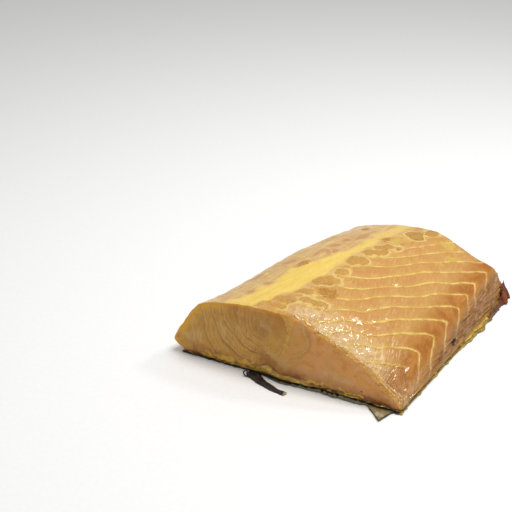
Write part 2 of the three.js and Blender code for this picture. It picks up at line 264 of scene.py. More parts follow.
# Blots on the top: x, y, half length, half width in millimetres, and the turn from x in degrees.
MUSCLE_ENDS = [(57, 7, 4.6, 2.3, 44), (67, 7, 4.1, 2.8, 14), (69, 16, 9.1, 3.7, 6),
               (84, 21, 7.9, 3.3, 13), (77, 30, 5.3, 3.9, 17), (83, 47, 8.3, 4.9, 28),
               (89, 62, 4.6, 4.1, 17), (94, 81, 7.8, 5.6, 25), (100, 97, 10, 4.4, 31),
               (106, 109, 7, 3, 35), (117, 139, 5.9, 6.6, 41), (127, 152, 6.5, 3.2, 59)]
PINK_SPOTS = [(50, 32, 4.6, 2.5, 36), (43, 18, 3.9, 2.5, 28), (55, 46, 3.4, 2.6, 63),
              (73, 89, 4.4, 3.4, 28), (70, 98, 5.6, 2.5, 67), (65, 83, 5.1, 2.1, 64),
              (77, 113, 4, 2.6, 54), (76, 104, 3.3, 1.7, 39), (84, 121, 8.2, 3.8, 61),
              (50, 65, 5.8, 2.5, 58), (36, 44, 6, 2.4, 60), (44, 86, 7, 2.6, 60),
              (60, 112, 7, 2.6, 62), (30, 22, 6, 2, 58)]
BROWN_SPOTS = [(61, 65, 5.6, 2.5, 56), (90, 36, 6, 4.3, 4), (101, 121, 4.3, 2.7, 43),
               (80, 140, 3, 3.8, 27)]
FAT_PATCHES = [(110, 124, 5.8, 3.8, 44), (140, 148, 6.3, 4.1, 49), (146, 137, 5, 1.6, 40),
               (120, 148, 2, 4, 40), (139, 120, 3.5, 1.6, 30)]

# The waver of the blots' edges on the top: its size, its length and its seed.
TOP_BLOTS = {
    "in_muscle_end": (MUSCLE_ENDS, 0.8, 8, 52),
    "in_pink_spot": (PINK_SPOTS, 0.9, 6, 53),
    "in_brown_spot": (BROWN_SPOTS, 0.5, 5, 54),
    "in_fat_patch": (FAT_PATCHES, 1.0, 5, 58),
}
TOP_STARTS = 24.0  # the blots on the top show above this height
BELLY_STARTS = 0.88  # and those on the belly side past this share across
NOWHERE = -20.0  # millimetres inside a blot, where it must not show

# Dark clots on the belly side: along, up, half length, half width and turn.
CLOTS = [(74.2, 8.6, 1.9, 1.4, 0), (77.2, 8.1, 1.9, 1.3, 0), (75.4, 6.9, 1.9, 1.2, 0),
         (82, 18, 0.6, 0.5, 0), (65.3, 21, 0.5, 0.5, 0), (88, 6.5, 0.5, 0.4, 0)]

# On the cut faces, across and up in millimetres: the wall of fat beside the round back muscle,
# the pale spots and the dark specks.
FAT_WALL = np.array([(76.2, 53), (77.6, 49.5), (78.4, 43.8), (77.9, 37), (77.3, 30.8), (74.8, 23)])
PALE_SPOTS = [(75, 12.8, 4.2, 3.2, -20), (70, 17.5, 5, 1.6, -35), (11, 16, 7, 4, 10),
              (33, 27, 2, 6, 0), (64, 39, 3, 2.4, 0), (112, 15, 8, 2.5, -12)]
SPECKS = [(62.5, 19.3, 0.5, 0.4, 0), (72.3, 9.1, 0.7, 0.4, 30), (89.1, 14.6, 1.1, 0.4, 20),
          (126.5, 9.3, 0.9, 0.8, 0), (12, 35, 0.4, 0.4, 0)]
# Where fat and dark red reach up into the foot of the cut muscle: across, up, half length, half
# width in millimetres and the turn in degrees, as in every list of blots on a cut face.
FAT_STAINS = [(22, 4.6, 4, 1.9, -6), (35, 4.8, 7, 2.3, -4), (47, 5.8, 6, 2.0, 8),
              (98, 6.0, 6, 1.2, 0), (122, 5.2, 5, 1.3, 0)]
RED_STAINS = [(66, 13, 9, 3.2, -25), (80, 8.6, 6, 2.0, -8), (28, 7.5, 8, 1.6, -6)]

# Rings of muscle on the cut faces, from the middle of the round back muscle outwards: the radius
# of each seam, at angles from the belly side over the top.
RING_MIDDLE = (62.1, 33.3)
RING_ANGLES = np.array([0, 30, 60, 90, 125, 150, 180, 200, 220, 240, 270, 305, 335])
RING_RADII = np.array([
    (5, 6, 9, 14, 18, 11.5, 8.2, 7, 6.4, 6, 5.5, 5, 4.6),
    (10, 11, 14, 19, 25, 22, 15.6, 13.3, 12, 11, 10.3, 10.2, 10),
    (14.5, 16.2, 21.4, 27, 35, 34, 25.4, 21, 19, 17.4, 14.6, 15.2, 13.9),
    (28.6, 28.4, 34, 39, 45, 42, 34, 31.6, 29.6, 26.4, 23, 21.2, 24.4),
    (46, 47, 50, 54, 58, 52, 41.9, 42, 43.3, 40, 36, 36, 40),
    (64, 66, 68, 70, 72, 62, 52, 54, 56, 56, 52, 50, 56),
    (88, 90, 92, 92, 92, 80, 66, 68, 70, 72, 70, 68, 76),
])
# How clearly each seam shows, at the same angles.
RING_SHOW = np.array([
    (0.0, 0.0, 0.1, 0.3, 0.6, 0.7, 0.6, 0.2, 0.1, 0.0, 0.0, 0.0, 0.0),
    (0.2, 0.1, 0.1, 0.3, 0.6, 0.8, 0.8, 0.7, 0.5, 0.2, 0.1, 0.1, 0.2),
    (0.9, 1.0, 1.0, 1.0, 0.8, 1.0, 1.0, 1.0, 1.0, 0.9, 0.8, 0.8, 0.9),
    (0.9, 0.8, 0.7, 0.5, 0.6, 0.9, 1.0, 1.0, 0.9, 0.8, 0.3, 0.3, 0.6),
    (0.1, 0.1, 0.1, 0.3, 0.5, 0.7, 0.9, 0.9, 0.8, 0.4, 0.1, 0.1, 0.1),
    (0.2, 0.3, 0.3, 0.2, 0.3, 0.4, 0.5, 0.4, 0.2, 0.1, 0.1, 0.1, 0.2),
    (0.1, 0.1, 0.1, 0.1, 0.1, 0.1, 0.1, 0.1, 0.1, 0.1, 0.1, 0.1, 0.1),
])


def outline(mark, along):
    """Across and height of the section at a landmark number, and the same of its tangent."""
    settled = 1 - np.exp(-along / SETTLE_LENGTH)
    shares = np.array([settled, bell(along, HUMP_PLACE, HUMP_REACH), (along / CUT_LENGTH) ** 4])
    across = SECTION[:, 0] + shares[:2].T @ SECTION[:, [1, 5]].T
    height = SECTION[:, 2] + shares.T @ (SECTION[:, [3, 6, 4]] * [1, 1, -1]).T
    first = np.clip(np.floor(mark).astype(int), 0, LAST_MARK - 1)
    share = mark - first
    rows = np.arange(len(mark))
    points, tangents = [], []
    for table in (across, height):
        before, start, end, after = (
            table[rows, np.clip(first + step, 0, LAST_MARK)] for step in (-1, 0, 1, 2)
        )
        leave, arrive = (end - before) / 2, (after - start) / 2
        cubic = 2 * start - 2 * end + leave + arrive
        square = 3 * end - 3 * start - 2 * leave - arrive
        points.append(((cubic * share + square) * share + leave) * share + start)
        tangents.append((3 * cubic * share + 2 * square) * share + leave)
    return np.array(points), np.array(tangents)


def even_marks(first, last, count=400):
    """Landmark numbers between two landmarks, evenly spaced over the surface."""
    marks = np.linspace(first, last, count)
    (across, height), _ = outline(marks, np.full(count, CUT_LENGTH / 2))
    steps = np.hypot(np.diff(across * CUT_WIDTH), np.diff(height))
    run = np.concatenate([[0], np.cumsum(steps)])
    return run / run[-1], marks


LEFT_MARKS = even_marks(0, HIGH_SHOULDER)
TOP_MARKS = even_marks(HIGH_SHOULDER, RIDGE)
RIGHT_MARKS = even_marks(LAST_MARK, RIDGE)


def section_points(column, tier, along):
    """Across and height of lattice points: on the outline, on the floor or on a cut face."""
    sides = {
        "left": outline(np.interp(tier, *LEFT_MARKS), along)[0],
        "right": outline(np.interp(tier, *RIGHT_MARKS), along)[0],
        "top": outline(np.interp(column, *TOP_MARKS), along)[0],
    }
    ends = {mark: outline(np.full(len(along), float(mark)), along)[0]
            for mark in (0, HIGH_SHOULDER, RIDGE, LAST_MARK)}
    floor_across = (1 - column) * ends[0][0] + column * ends[LAST_MARK][0]
    edges = ramp(column, 0, 0.03) * (1 - ramp(column, 0.97, 1))
    feet = (1 - column) * ends[0][1] + column * ends[LAST_MARK][1]
    floor_height = feet + (fat_top(floor_across) + LAYER_GAP - feet) * edges
    floor = np.array([floor_across, floor_height])
    corners = ((1 - column) * (1 - tier) * ends[0] + (1 - column) * tier * ends[HIGH_SHOULDER]
               + column * (1 - tier) * ends[LAST_MARK] + column * tier * ends[RIDGE])
    return ((1 - tier) * floor + tier * sides["top"] + (1 - column) * sides["left"]
            + column * sides["right"] - corners)


def outward(column, tier, along):
    """Unit vectors out of the flesh in x and height, for points on its outline."""
    mark = np.where(tier > 1 - 1e-6, np.interp(column, *TOP_MARKS),
                    np.where(column < 0.5, np.interp(tier, *LEFT_MARKS),
                             np.interp(tier, *RIGHT_MARKS)))
    _, (run_across, run_height) = outline(mark, along)
    width = CUT_WIDTH + (RIGHT_SKEW - LEFT_SKEW) * along
    normal = np.array([-run_height, run_across * width])
    return normal / np.linalg.norm(normal, axis=0)


def bands(points, across):
    """The number of the septum at each point, whole on a septum, and the millimetres to the next.

    Right of the stripe the septa are those of the solid, with a hand's waver. Left of it they run
    back from the stripe down the flank.
    """
    flat = points[:, :2]
    waver = 0.9 * waves(flat, 36, 11) + 0.25 * waves(flat, 15, 12)
    along = points[:, 1] + waver
    step = 0.5
    number = septum_number(across, along)
    by_x = (septum_number(across + step / CUT_WIDTH, along) - number) / step
    by_y = (septum_number(across, along + step) - number) / step
    level = 0.85 - 0.4 * ramp(across, 0.86, 0.95)  # the slope spreads what lies across it
    gap = 1 / np.maximum(np.hypot(by_x * level, by_y), 0.02)
    lean = 0.55 * (points[:, 0] - place(0.4, points[:, 1])) + 0.35 * (46 - points[:, 2])
    left_number = (along + lean + 1.6 * waves(points, 21, 13)) / LEFT_PITCH
    is_left = across < 0.385
    return np.where(is_left, left_number, number), np.where(is_left, LEFT_PITCH * 0.85, gap)


def ring_bands(face):
    """Ring number, millimetres to the next ring and how clearly a seam shows, on a cut face."""
    waver = 0.5 * waves(face, 16, 41) + 0.25 * waves(face, 6, 42)
    reach = face - RING_MIDDLE
    angle = np.degrees(np.arctan2(reach[:, 1], reach[:, 0])) % 360
    radius = np.hypot(*reach.T) + waver
    turns = np.append(RING_ANGLES, 360)
    smooth = [smooth_around(angle, turns, np.append(row, row[0])) for row in RING_RADII]
    shows = [smooth_around(angle, turns, np.append(row, row[0])) for row in RING_SHOW]
    inner, number, gap = np.zeros(len(face)), np.zeros(len(face)), smooth[0].copy()
    show = shows[0].copy()
    for ring, outer in enumerate(smooth):
        past = radius >= inner
        number = np.where(past, ring + (radius - inner) / (outer - inner), number)
        gap = np.where(past, outer - inner, gap)
        nearer = (radius - inner) > (outer - radius)
        seam = shows[ring] if ring == 0 else np.where(nearer, shows[ring], shows[ring - 1])
        show = np.where(past, seam, show)
        inner = outer
    return number, gap, show


def smooth_around(angle, turns, values):
    """A value read off a table at angles of a full turn, with no corners."""
    blurred = 0
    for offset, weight in ((-9, 1), (-5, 2), (0, 3), (5, 2), (9, 1)):
        blurred = blurred + weight / 9 * np.interp((angle + offset) % 360, turns, values)
    return blurred


def blot_distance(flat, blots, waver=0.0):
    """Millimetres inside the nearest blot, below zero outside all of them."""
    inside = np.full(len(flat), -30.0)
    for x, y, half_length, half_width, turn in blots:
        cosine, sine = math.cos(math.radians(turn)), math.sin(math.radians(turn))
        over, up = flat[:, 0] - x, flat[:, 1] - y
        along_blot = (over * cosine + up * sine) / half_length
        across_blot = (up * cosine - over * sine) / half_width
        reach = (np.abs(along_blot) ** 2.6 + np.abs(across_blot) ** 2.6) ** (1 / 2.6)
        inside = np.maximum(inside, (1 - reach) * half_width)
    return inside + waver


def line_distance(face, route):
    """Distance of each point to a route of short straight runs."""
    nearest = np.full(len(face), 1e9)
    for start, end in zip(route[:-1], route[1:]):
        run = end - start
        share = np.clip((face - start) @ run / (run @ run), 0, 1)
        nearest = np.minimum(nearest, np.hypot(*(face - start - share[:, None] * run).T))
    return nearest


def flesh_relief(points, across, number, gap):
    """How far the finished surface stands out from the plain form, on the outline."""
    along = points[:, 1]
    offset = np.abs(number - np.round(number))
    past = (across - ridge_across(along)) * CUT_WIDTH
    # The muscle bands swell between their septa, which stand up as thin lines of fat.
    banded = ramp(across, 0.42, 0.5) * (1 - ramp(past, 0, 7))
    swell = 0.55 * (0.4 - (1 - 2 * offset) ** 4)
    seam = (0.16 + 0.3 * bell(along, 0, 45)) * bell(offset * gap, 0, 0.7)
    relief = banded * (swell + seam * (1 + 0.5 * waves(points, 4, 27)))
    relief += 0.2 * waves(points, 30, 21) + 0.1 * waves(points, 7, 22)
    relief += 0.4 * ramp(blot_distance(points[:, :2], MUSCLE_ENDS), -1.5, 2.5)
    # Near the front cut the surface is torn into wet flakes, and the rim itself is rolled up.
    wet = ramp(across, 0.5, 0.6) * (1 - ramp(past, -3, 5)) * bell(along, 0, 24)
    flakes = np.column_stack([points[:, 0] - 0.1 * along, along / 3, points[:, 2]])
    torn = 0.8 * np.abs(waves(flakes, 4.5, 23)) + 0.5 * np.abs(waves(points, 2.6, 24))
    relief += wet * (0.7 - 0.7 * torn)
    roll = ramp(across, 0.42, 0.52) * (1 - ramp(past, 0, 9)) * bell(along, 2.6, 2.1)
    lengthwise = np.column_stack([points[:, 0] / 3, 2 * along, points[:, 2] / 3])
    relief += roll * (1.0 + 0.3 * waves(points, 9, 28) + 0.1 * waves(lengthwise, 2.5, 29))
    # The belly side has grooves that the knife left along the fish.
    belly = ramp(past, -1, 5)
    grain = np.column_stack([points[:, 2] / 1.7, along / 21, points[:, 0] / 40])
    relief += belly * (0.3 * waves(grain, 1, 25) + 0.12 * waves(grain * [2.1, 2.4, 1], 1, 26))
    return relief


def rim_distance(face, rim):
    """Distance of each point of a cut face to the face's rim."""
    nearest = np.full(len(face), 1e9)
    for point in rim:
        nearest = np.minimum(nearest, np.hypot(*(face - point).T))
    return nearest


def row_places(share):
    """Rows lie closer near the cuts, where the rim is rounded and torn."""
    return share - 0.055 * np.sin(2 * math.pi * share)


def make_flesh():
    obj = lattice_block("fillet_flesh", (TOP_COLUMNS, FLESH_ROWS, FACE_TIERS))
    column, row, tier = coordinates(obj).T
    share = row_places(row)
    along = share * CUT_LENGTH
    across, height = section_points(column, tier, along)
    y = share * (CUT_LENGTH + BACK_CUT_SLANT * across)
    points = np.column_stack([place(across, along), y, height])
    number, gap = bands(points, across)

    on_outline = (tier > 1 - 1e-6) | (column < 1e-6) | (column > 1 - 1e-6)
    off_floor = ramp(tier, 0, 0.05)
    relief = flesh_relief(points, across, number, gap) * off_floor
    from_cut = np.minimum(y, CUT_LENGTH + BACK_CUT_SLANT * across - y)
    rounding = 0.3 * RIM_ROUND * np.clip(1 - from_cut / RIM_ROUND, 0, 1) ** 2
    normal = outward(column, tier, along)
    lift = np.where(on_outline, relief - rounding * off_floor, 0)
    points[:, 0] += lift * normal[0]
    points[:, 2] += lift * normal[1]

    inside = np.zeros(len(points))
    for cut, way in ((0, -1), (1, 1)):
        on_cut = np.abs(row - cut) < 1e-6
        face = points[on_cut][:, [0, 2]]
        inside[on_cut] = rim_distance(face, points[on_cut & on_outline][:, [0, 2]])
        rounded = 0.3 * RIM_ROUND * np.clip(1 - inside[on_cut] / RIM_ROUND, 0, 1) ** 2
        dragged = 0.16 * waves(face, 16, 31 + cut) + 0.05 * waves(face * [1, 0.3], 2.4, 33 + cut)
        points[on_cut, 1] += way * (dragged * ramp(inside[on_cut], 0, 2) - rounded)
    near_front = 1 - ramp(y, 0, 9)
    near_back = 1 - ramp(CUT_LENGTH - y, 0, 9)
    bulge = 0.8 * bell(across, 0.42, 0.35) * bell(height, 20, 22)
    points[:, 1] -= near_front * (toe(points[:, 0], height) + bulge)
    points[:, 1] += near_back * bulge
    move_vertices(obj, points)

    unskewed = np.column_stack([across * CUT_WIDTH, height])
    ring, ring_gap, ring_show = ring_bands(unskewed)
    reach = unskewed - RING_MIDDLE
    ring_angle = np.degrees(np.arctan2(reach[:, 1], reach[:, 0])) % 360
    over_fat = height - fat_top(across) - LAYER_GAP
    # How high the membrane and its painted shade reach above the fat.
    hollow = 1.1 + 2 * bell(unskewed[:, 0], 85, 5) + 2.2 * bell(unskewed[:, 0], 131, 8)
    wall = 1.0 + 2.6 * ramp(height, 40, 50)
    left_edge = place(np.interp(y, *STRIPE_LEFT.T), y)
    right_edge = place(np.interp(y, *STRIPE_RIGHT.T), y)
    on_top = np.where(height > TOP_STARTS, 0, NOWHERE)
    on_side = np.where(across > BELLY_STARTS, 0, NOWHERE)
    band_height = 5 + 9 * ramp(y, 112, 150)
    fields = {
        "septum": number,
        "septum_gap": gap,
        "ring": ring,
        "ring_gap": ring_gap,
        "ring_show": ring_show,
        "past_stripe_left": points[:, 0] - left_edge + 1.1 * waves(points, 11, 51) + on_top,
        "past_stripe_right": right_edge - points[:, 0] + 0.7 * waves(points, 8, 56) + on_top,
        "in_clot": blot_distance(points[:, 1:], CLOTS, 0.3 * waves(points, 2.5, 55)) + on_side,
        # Where a pale band of painted sheen lies low on the belly side.
        "in_painted_sheen_band": 4 - np.abs(height - band_height) - 14 * (1 - ramp(y, 122, 142)) + on_side,
        "in_stain": blot_distance(unskewed, FAT_STAINS, waves(points, 3.5, 64)),
        "in_red_stain": blot_distance(unskewed, RED_STAINS, waves(points, 5, 65)),
        "past_ridge": (across - ridge_across(y)) * CUT_WIDTH,
        "across": across,
        "over_fat": over_fat,
        "ring_dark": ramp(ring_angle, 192, 215) * (1 - ramp(ring_angle, 250, 275)),
        "in_wall": wall - line_distance(unskewed, FAT_WALL) + 0.5 * waves(points, 4, 59),
        "in_pale_spot": blot_distance(unskewed, PALE_SPOTS, 0.8 * waves(points, 5, 60)),
        "in_speck": blot_distance(unskewed, SPECKS),
        "from_rim": inside,
        "from_front": y,
        "in_membrane_and_shade": (hollow - over_fat + 0.6 * waves(points, 6, 57)
                        + 0.3 * waves(points, 2.5, 50)),
        "on_cut": (row < 1e-6) | (row > 1 - 1e-6),
    }
    for name, (blots, size, length, seed) in TOP_BLOTS.items():
        waver = size * waves(points, length, seed)
        fields[name] = blot_distance(points[:, :2], blots, waver) + on_top
    for name, values in fields.items():
        write_attribute(obj, name, values)
    return obj


def assign_by_place(obj, materials, chosen_faces):
    """Gives a mesh its materials, and the chosen faces the second of them."""
    for material in materials:
        obj.data.materials.append(material)
    obj.data.polygons.foreach_set("material_index", np.asarray(chosen_faces, np.int32))


# ---- The fat layer ----
# Where the fat shows clear yellow along the front cut: x and reach.
CLEAR_FAT = [(22, 4), (42, 9), (61, 8), (80, 9), (96, 8), (122, 5)]


def make_fat():
    obj = lattice_block("fillet_fat", (190, 170, 8))
    column, row, tier = coordinates(obj).T
    share = row_places(row)
    across = LAYER_START + (1 - LAYER_START) * column
    end = CUT_LENGTH + BACK_CUT_SLANT * across
    y = share * end
    x = place(across, y)
    rough = 0.35 * waves(np.column_stack([x, y, 8 * tier]), 7, 61)
    rough += 0.18 * waves(np.column_stack([x, y, 8 * tier]), 2.7, 62)
    bulged = 4 * tier * (1 - tier)
    top = fat_top(across)
    front = toe(x, FAT_BOTTOM) - 0.3 + 0.5 * bulged + rough
    right = 0.1 + belly_lumps(y) * bulged + 0.5 * rough
    points = np.column_stack([x, y, FAT_BOTTOM + tier * (top - FAT_BOTTOM)])
    points[:, 1] -= front * near_edge(y)
    points[:, 0] += right * near_edge(place(1, y) - x)
    points[:, 1] += (rough - 0.3) * near_edge(end - y)
    points[:, 0] -= (rough - 0.3) * near_edge(x - place(LAYER_START, y))
    move_vertices(obj, points)
    write_attribute(obj, "up_fat", (points[:, 2] - FAT_BOTTOM) / np.maximum(top - FAT_BOTTOM, 0.1))
    clear = sum(bell(x, at, reach) for at, reach in CLEAR_FAT) * bell(y, 0, 20)
    clear = clear + ramp(across, 0.9, 0.97) * bell(y, LUMP_PLACE, 22) + 0.6 * ramp(y, 130, 150)
    write_attribute(obj, "clear_fat", clear + 0.3 * waves(points, 5, 63))
    return obj


# ---- The skin ----
FLAP_ROOT, FLAP_WIDTH, FLAP_LENGTH = 130, 17, 11
SPIKES = [(149, 4.6, 1.3), (157, 1.6, 1.3)]  # y, length and half width of each scute point
LIP_RISES = [(2.8, 116, 128), (8.6, 141, 157)]  # how much the lip rises, and between which y
LIP_LEAN = 0.56  # how far it leans in over the flesh, for each millimetre of height


def ragged(value, size, wavelength):
    """A torn edge's waver, in and out of its line."""
    return size * (0.6 * np.sin(2 * math.pi * value / wavelength + 0.7)
                   + 0.4 * np.sin(2 * math.pi * value / (0.37 * wavelength) + 2.1))


def make_skin():
    obj = lattice_block("fillet_skin", (230, 216, 5))
    column, row, tier = coordinates(obj).T
    share = row_places(row)
    sideways = column - 0.04 * np.sin(2 * math.pi * column)  # closer columns near both sides
    across = LAYER_START + (1 - LAYER_START) * sideways
    end = CUT_LENGTH + BACK_CUT_SLANT * across
    y = share * end
    x = place(across, y)
    start_x = place(LAYER_START, 0)
    flap_share = np.clip((across * CUT_WIDTH - FLAP_ROOT) / FLAP_WIDTH, 0, 1)
    flap = FLAP_LENGTH * np.minimum(flap_share / 0.7, (1 - flap_share) / 0.3)
    fold = 2 * np.abs(tier - 0.5)
    rounded = -0.35 * fold**3
    chipped = 0.25 * waves(np.column_stack([x, y, 3 * tier]), 3.1, 71)
    hem = 1.35 * ramp(x, 82, 96) * (1 - ramp(x, 126, 132))  # a thick rough hem on the right half
    front = 0.25 + 0.45 * ramp(x, 58, 80) + 1.15 * toe(x, 0) + ragged(x - start_x, 0.35, 17)
    front = front + chipped + rounded + hem
    spike = sum(length * near_edge(np.abs(y - at), half) for at, length, half in SPIKES)
    spike = spike * bell(tier, 0.6, 0.5)
    right = 0.2 + 1.7 * ramp(y, 70, 110) + belly_lumps(y) + spike
    right = right + ragged(y, 0.4, 21) + chipped + rounded
    back = 0.8 + ragged(x, 0.4, 18) + chipped + rounded
    left = 0.6 + ragged(y, 0.4, 20) + chipped + rounded
    points = np.column_stack([x, y, SKIN_THICKNESS * tier])
    points[:, 1] -= front * near_edge(y) + flap * near_edge(y, 9)
    points[:, 0] += right * near_edge(place(1, y) - x)
    points[:, 1] += back * near_edge(end - y)
    points[:, 0] -= left * near_edge(x - place(LAYER_START, y))
    # The edge turns up beside the belly, and the flap lifts a little off the ground at its tip.
    beside = points[:, 0] - place(1, y)
    turned = sum(rise * ramp(y, start, stop) for rise, start, stop in LIP_RISES)
    off_ground = ramp(tier, 0.1, 1)
    lip = turned * ramp(beside, 0.55, 1.6) * off_ground
    points[:, 0] -= LIP_LEAN * lip
    curl = 0.9 * ramp(-points[:, 1], 3, 10) * flap_share
    crumple = 0.3 * waves(points[:, :2], 4.2, 72) * ramp(-points[:, 1], 0.5, 3)
    hemmed = 1.1 * hem * near_edge(np.abs(y + 0.6), 3) * (1 + 0.5 * waves(points[:, :1], 4, 73))
    points[:, 2] += lip * (1 + 0.2 * waves(points[:, 1:2], 6, 74))
    points[:, 2] += (curl + crumple + hemmed) * off_ground
    move_vertices(obj, points)
    write_attribute(obj, "flap", ramp(-points[:, 1], 1.0, 3.5) * ramp(across * CUT_WIDTH, 126, 131))
    write_attribute(obj, "beside", beside)
    write_attribute(obj, "up_skin", tier)
    write_attribute(obj, "hem", ramp(x, 62, 76) * (1 - ramp(x, 130, 138)) * (y < 2))
    write_attribute(obj, "at_back", y)
    return obj


# ---- The torn strip of skin ----
STRIP_ROUTE = np.array([(51.4, -2.6), (54.5, -4.9), (60.5, -6.9), (67, -8.9), (74.5, -11.2),
                        (81.6, -12.3)])
STRIP_WIDTH = 4.8
STRIP_THICKNESS = 1.5
CURL_RADIUS = 2.1
CURL_THICKNESS = 0.9


def make_strip():
    obj = lattice_block("torn_skin_strip", (90, 18, 5))
    run, side, tier = coordinates(obj).T
    steps = np.hypot(*np.diff(STRIP_ROUTE, axis=0).T)
    shares = np.concatenate([[0], np.cumsum(steps)]) / steps.sum()
    centre = np.column_stack([np.interp(run, shares, STRIP_ROUTE[:, i]) for i in (0, 1)])
    heading = STRIP_ROUTE[-1] - STRIP_ROUTE[0]
    heading = heading / np.linalg.norm(heading)
    aside = np.array([-heading[1], heading[0]])
    half = 0.5 * STRIP_WIDTH * (0.62 + 0.38 * ramp(run, 0, 0.4) - 0.3 * ramp(run, 0.5, 1))
    half = half + ragged(run, 0.15, 0.31)
    over = 2 * side - 1
    half = half + 3.6 * bell(run, 0.16, 0.2) * (over > 0)  # its root, still joined to the hem
    crown = np.sqrt(np.clip(1 - 0.8 * over**2, 0, 1))
    thick = STRIP_THICKNESS * (1 + 0.2 * np.sin(2 * math.pi * run / 0.45)) * crown
    points = np.column_stack([centre + aside * (over * half)[:, None], tier * thick])
    ends = np.abs(2 * run - 1) > 1 - 1e-6
    points[:, :2] += heading * (0.3 * waves(points, 2.2, 81) * ends)[:, None]
    groove = np.column_stack([over * 2.2, run * 1.4, tier])
    points[:, 2] += 0.13 * waves(groove, 1, 82) * (tier > 0.9) * (1 - ends)
    move_vertices(obj, points)
    write_attribute(obj, "cut_end", ramp(run, 0.965, 0.985))

    deselect_everything()
    curl_place = (STRIP_ROUTE[0][0] + 0.6, STRIP_ROUTE[0][1] - 3.4, CURL_RADIUS + 0.5)
    bpy.ops.mesh.primitive_torus_add(
        location=(np.array(curl_place) - MIDDLE) * MM, rotation=(math.pi / 2, 0, 0),
        major_radius=CURL_RADIUS * MM, minor_radius=CURL_THICKNESS / 2 * MM,
        major_segments=48, minor_segments=12)
    bpy.ops.object.transform_apply(location=True, rotation=True, scale=True)
    obj.select_set(True)
    bpy.context.view_layer.objects.active = obj
    bpy.ops.object.join()
    return obj


# ---- Materials ----
def linear(hex_colour):
    """An sRGB hex colour as linear light, with full alpha."""
    parts = [int(hex_colour[i:i + 2], 16) / 255 for i in (1, 3, 5)]
    return [c / 12.92 if c <= 0.04045 else ((c + 0.055) / 1.055) ** 2.4 for c in parts] + [1]


def add(tree, kind, inputs=None, output=0, **settings):
    """Adds a node with its settings, sets or links its inputs, and gives one of its outputs."""
    made = tree.nodes.new(kind)
    for name, value in settings.items():
        setattr(made, name, value)
    for key, value in (inputs or {}).items():
        if isinstance(value, bpy.types.NodeSocket):
            tree.links.new(value, made.inputs[key])
        else:
            made.inputs[key].default_value = value
    return made.outputs[output]


def new_material(name, **surface_inputs):
    """A material with one plain shader, and its settings by the names of their sockets."""
    material = bpy.data.materials.new(name)
    material.use_nodes = True
    shader = material.node_tree.nodes["Principled BSDF"]
    for key, value in surface_inputs.items():
        shader.inputs[key.replace("_", " ")].default_value = value
    return material, material.node_tree, shader


def mottle(tree, size_mm, detail=2.0, stretch=(1, 1, 1), turn=0.0):
    """Cloudy noise from 0 to 1 with patches of a real size, drawn out along x, y or z."""
    here = add(tree, "ShaderNodeTexCoord", output="Object")
    sizes = [size_mm * pull * MM for pull in stretch]
    placed = add(tree, "ShaderNodeMapping", {
        "Vector": here, "Scale": sizes, "Rotation": (0, 0, math.radians(turn))
    }, vector_type="TEXTURE")
    return add(tree, "ShaderNodeTexNoise", {"Vector": placed, "Scale": 1.0, "Detail": detail})


def torn_edge(tree, inside, wobble, wobble_mm, soft_mm, grown_mm=0.0):
    """1 inside a shape and 0 outside, from the millimetres inside it, with a torn, soft edge."""
    moved = add(tree, "ShaderNodeMath", {0: wobble, 1: 2 * wobble_mm, 2: inside},
                operation="MULTIPLY_ADD")
    edge = wobble_mm - grown_mm
    return add(tree, "ShaderNodeMapRange", {
        "Value": moved, "From Min": edge - soft_mm, "From Max": edge + soft_mm
    }, interpolation_type="SMOOTHSTEP")


def seam_line(tree, number, gap, width_mm, soft_mm):
    """1 on a seam and 0 off it. A seam lies where the number is whole, gap millimetres apart."""
    off = add(tree, "ShaderNodeMath", {0: number, 1: 0.5}, operation="PINGPONG")
    off_mm = add(tree, "ShaderNodeMath", {0: off, 1: gap}, operation="MULTIPLY")
    return add(tree, "ShaderNodeMapRange", {
        "Value": off_mm, "From Min": width_mm / 2, "From Max": width_mm / 2 + soft_mm,
        "To Min": 1.0, "To Max": 0.0
    }, interpolation_type="SMOOTHSTEP")


def between(tree, value, low, high):
    """0 below low, 1 above high and smooth between them. With low above high it falls instead."""
    falls = low > high
    return add(tree, "ShaderNodeMapRange", {
        "Value": value, "From Min": min(low, high), "From Max": max(low, high),
        "To Min": float(falls), "To Max": float(not falls)
    }, interpolation_type="SMOOTHSTEP")


def times(tree, *shares):
    """The product of masks and plain numbers."""
    product = shares[0]
    for share in shares[1:]:
        product = add(tree, "ShaderNodeMath", {0: product, 1: share}, operation="MULTIPLY")
    return product


def grey(level):
    """A plain level, for a channel that isn't a colour."""
    return [level, level, level, 1]


def paint(tree, ground, coats):
    """Lays coats of colour over a ground. Each has its masks, a strength and a colour."""
    for *masks, strength, colour in coats:
        share = times(tree, *masks, strength)
        ground = add(tree, "ShaderNodeMix", {0: share, 6: ground, 7: linear(colour)}, 2,
                     data_type="RGBA")
    return ground


def read_fields(tree, names):
    return {name: add(tree, "ShaderNodeAttribute", output="Fac", attribute_name=name)
            for name in names}


def raise_surface(tree, shader, heights):
    """Fine relief under the light, as the sum of patterns with their heights in millimetres."""
    total = 0.0
    for pattern, height_mm in heights:
        total = add(tree, "ShaderNodeMath", {0: pattern, 1: height_mm * MM, 2: total},
                    operation="MULTIPLY_ADD")
    bump = add(tree, "ShaderNodeBump", {"Height": total, "Distance": 1.0}, "Normal")
    tree.links.new(bump, shader.inputs["Normal"])


